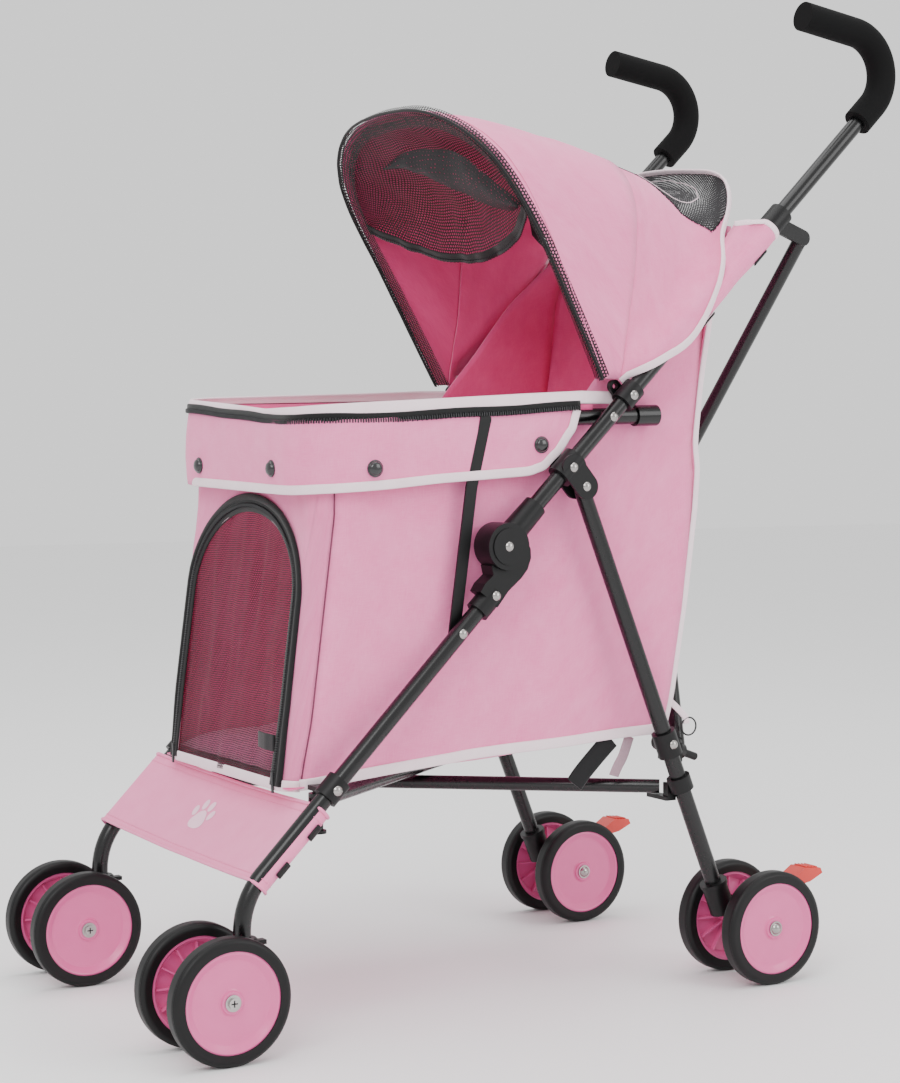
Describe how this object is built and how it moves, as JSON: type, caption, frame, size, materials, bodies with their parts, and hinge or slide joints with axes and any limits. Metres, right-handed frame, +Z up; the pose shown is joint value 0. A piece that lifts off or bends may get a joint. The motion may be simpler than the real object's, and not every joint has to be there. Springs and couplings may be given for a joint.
{
  "type": "pet stroller",
  "caption": "Umbrella-fold pet stroller: J-handled tube frame with crossed braces, fabric cabin with hinged mesh door, tilting canopy, swivel front casters and braked rear wheels.",
  "frame": {"origin": "on the floor, under the middle of the overall bounding box", "axes": "+Z up, the stroller faces -Y, +X is the stroller's left side"},
  "size_m": [0.445, 0.8422, 0.9978],
  "materials": {
    "black_tube": "satin black powder coat",
    "grip_foam": "matte foam",
    "black_plastic": "fine matte texture",
    "rivet_steel": "bright plated",
    "tyre_rubber": "smooth black rubber",
    "wheel_pink": "moulded pink",
    "brake_red": "moulded red",
    "hoop_wire": "steel wire",
    "black_mesh": "open mesh",
    "mat_fabric": "quilted mat",
    "pink_fabric": "light pink canvas"
  },
  "bodies": {
    "side_left": {"upper_tube_left": "black_tube", "grip_left": "grip_foam", "lower_tube_left": "black_tube", "rear_leg_left": "black_tube", "leg_bracket_left": "black_plastic", "knee_upper_left": "black_plastic", "knee_lower_left": "black_plastic", "armrest_left": "black_tube", "armrest_link_left": "black_tube", "canopy_clip_left": "black_plastic", "side_rivets_left": "rivet_steel", "bag_side_left": "pink_fabric", "frame_feet_left": "black_plastic", "rear_fork_left": "black_plastic", "rear_axle_left": "rivet_steel"},
    "collar_left": {"brace_collar_left": "black_plastic"},
    "caster_left": {"caster_fork_left": "black_plastic", "front_axle_left": "rivet_steel"},
    "front_wheels_left": {"front_tyres_left": "tyre_rubber", "front_discs_left": "wheel_pink"},
    "rear_wheels_left": {"rear_tyres_left": "tyre_rubber", "rear_discs_left": "wheel_pink"},
    "brake_left": {"brake_lever_left": "brake_red"},
    "side_right": {"upper_tube_right": "black_tube", "grip_right": "grip_foam", "lower_tube_right": "black_tube", "rear_leg_right": "black_tube", "leg_bracket_right": "black_plastic", "knee_upper_right": "black_plastic", "knee_lower_right": "black_plastic", "armrest_right": "black_tube", "armrest_link_right": "black_tube", "canopy_clip_right": "black_plastic", "side_rivets_right": "rivet_steel", "bag_side_right": "pink_fabric", "frame_feet_right": "black_plastic", "rear_fork_right": "black_plastic", "rear_axle_right": "rivet_steel"},
    "collar_right": {"brace_collar_right": "black_plastic"},
    "caster_right": {"caster_fork_right": "black_plastic", "front_axle_right": "rivet_steel"},
    "front_wheels_right": {"front_tyres_right": "tyre_rubber", "front_discs_right": "wheel_pink"},
    "rear_wheels_right": {"rear_tyres_right": "tyre_rubber", "rear_discs_right": "wheel_pink"},
    "brake_right": {"brake_lever_right": "brake_red"},
    "brace_front": {"brace_bar_front": "black_tube"},
    "brace_rear": {"brace_bar_rear": "black_tube"},
    "lower_upper": {"lower_bar_upper": "black_tube"},
    "lower_under": {"lower_bar_under": "black_tube"},
    "cabin": {"bag_front": "pink_fabric", "bag_rear": "pink_fabric", "bag_floor": "pink_fabric", "floor_mat": "mat_fabric", "front_flap": "pink_fabric", "footrest_sling": "pink_fabric", "canopy_rear": "pink_fabric"},
    "door": {"front_door": "black_mesh"},
    "canopy": {"canopy_front": "pink_fabric", "canopy_hoop": "hoop_wire"}
  },
  "joints": [
    {"name": "side_fold_left", "type": "slide", "parent": "cabin", "child": "side_left", "axis": [-1, 0, 0], "range_m": [0, 0.09], "deforming": ["bag_front", "bag_rear", "bag_floor", "floor_mat", "front_flap", "footrest_sling", "canopy_rear", "front_door", "canopy_front", "canopy_hoop"]},
    {"name": "side_fold_right", "type": "slide", "parent": "cabin", "child": "side_right", "axis": [1, 0, 0], "range_m": [0, 0.09]},
    {"name": "brace_front_pivot", "type": "hinge", "parent": "side_left", "child": "brace_front", "pos_m": [0.143, 0.16623, 0.23419], "axis": [-0.1689, 0.9304, -0.3253], "range_deg": [0, 18.06]},
    {"name": "brace_rear_pivot", "type": "hinge", "parent": "side_right", "child": "brace_rear", "pos_m": [-0.13984, 0.18363, 0.22811], "axis": [-0.1689, -0.9304, 0.3253], "range_deg": [0, 18.06]},
    {"name": "lower_upper_pivot", "type": "hinge", "parent": "side_left", "child": "lower_upper", "pos_m": [0.148, -0.24804, 0.217], "axis": [0, 0, -1], "range_deg": [0, 20.76]},
    {"name": "lower_under_pivot", "type": "hinge", "parent": "side_right", "child": "lower_under", "pos_m": [-0.148, -0.24804, 0.2], "axis": [0, 0, 1], "range_deg": [0, 20.76]},
    {"name": "collar_slide_left", "type": "slide", "parent": "side_left", "child": "collar_left", "axis": [0, 0.7108, 0.7034], "range_m": [0, 0.07032]},
    {"name": "collar_slide_right", "type": "slide", "parent": "side_right", "child": "collar_right", "axis": [0, 0.7108, 0.7034], "range_m": [0, 0.07032]},
    {"name": "caster_swivel_left", "type": "hinge", "parent": "side_left", "child": "caster_left", "pos_m": [0.171, -0.33654, 0.08], "axis": [0, 0, 1], "continuous": true},
    {"name": "front_wheel_spin_left", "type": "hinge", "parent": "caster_left", "child": "front_wheels_left", "pos_m": [0.171, -0.36604, 0.0575], "axis": [1, 0, 0], "continuous": true},
    {"name": "rear_wheel_spin_left", "type": "hinge", "parent": "side_left", "child": "rear_wheels_left", "pos_m": [0.1735, 0.23396, 0.0575], "axis": [1, 0, 0], "continuous": true},
    {"name": "brake_pedal_left", "type": "hinge", "parent": "side_left", "child": "brake_left", "pos_m": [0.1735, 0.25096, 0.086], "axis": [-1, 0, 0], "range_deg": [0, 20]},
    {"name": "caster_swivel_right", "type": "hinge", "parent": "side_right", "child": "caster_right", "pos_m": [-0.171, -0.33654, 0.08], "axis": [0, 0, 1], "continuous": true},
    {"name": "front_wheel_spin_right", "type": "hinge", "parent": "caster_right", "child": "front_wheels_right", "pos_m": [-0.171, -0.36604, 0.0575], "axis": [1, 0, 0], "continuous": true},
    {"name": "rear_wheel_spin_right", "type": "hinge", "parent": "side_right", "child": "rear_wheels_right", "pos_m": [-0.1735, 0.23396, 0.0575], "axis": [1, 0, 0], "continuous": true},
    {"name": "brake_pedal_right", "type": "hinge", "parent": "side_right", "child": "brake_right", "pos_m": [-0.1735, 0.25096, 0.086], "axis": [-1, 0, 0], "range_deg": [0, 20]},
    {"name": "canopy_fold", "type": "hinge", "parent": "cabin", "child": "canopy", "pos_m": [0, 0.07496, 0.603], "axis": [-1, 0, 0], "range_deg": [0, 34], "deforming": ["canopy_front", "canopy_rear"]},
    {"name": "door_open", "type": "hinge", "parent": "cabin", "child": "door", "pos_m": [0, -0.2789, 0.23815], "axis": [1, 0, 0], "range_deg": [0, 100]}
  ],
  "couplings": [
    {"joint": "side_fold_right", "follows": "side_fold_left", "ratio": 1},
    {"joint": "brace_front_pivot", "follows": "side_fold_left", "rad_per_m": 3.5007},
    {"joint": "brace_rear_pivot", "follows": "side_fold_left", "rad_per_m": 3.5007},
    {"joint": "lower_upper_pivot", "follows": "side_fold_left", "rad_per_m": 4.0235},
    {"joint": "lower_under_pivot", "follows": "side_fold_left", "rad_per_m": 4.0235},
    {"joint": "collar_slide_left", "follows": "side_fold_left", "ratio": 0.78121},
    {"joint": "collar_slide_right", "follows": "side_fold_left", "ratio": 0.78121}
  ]
}
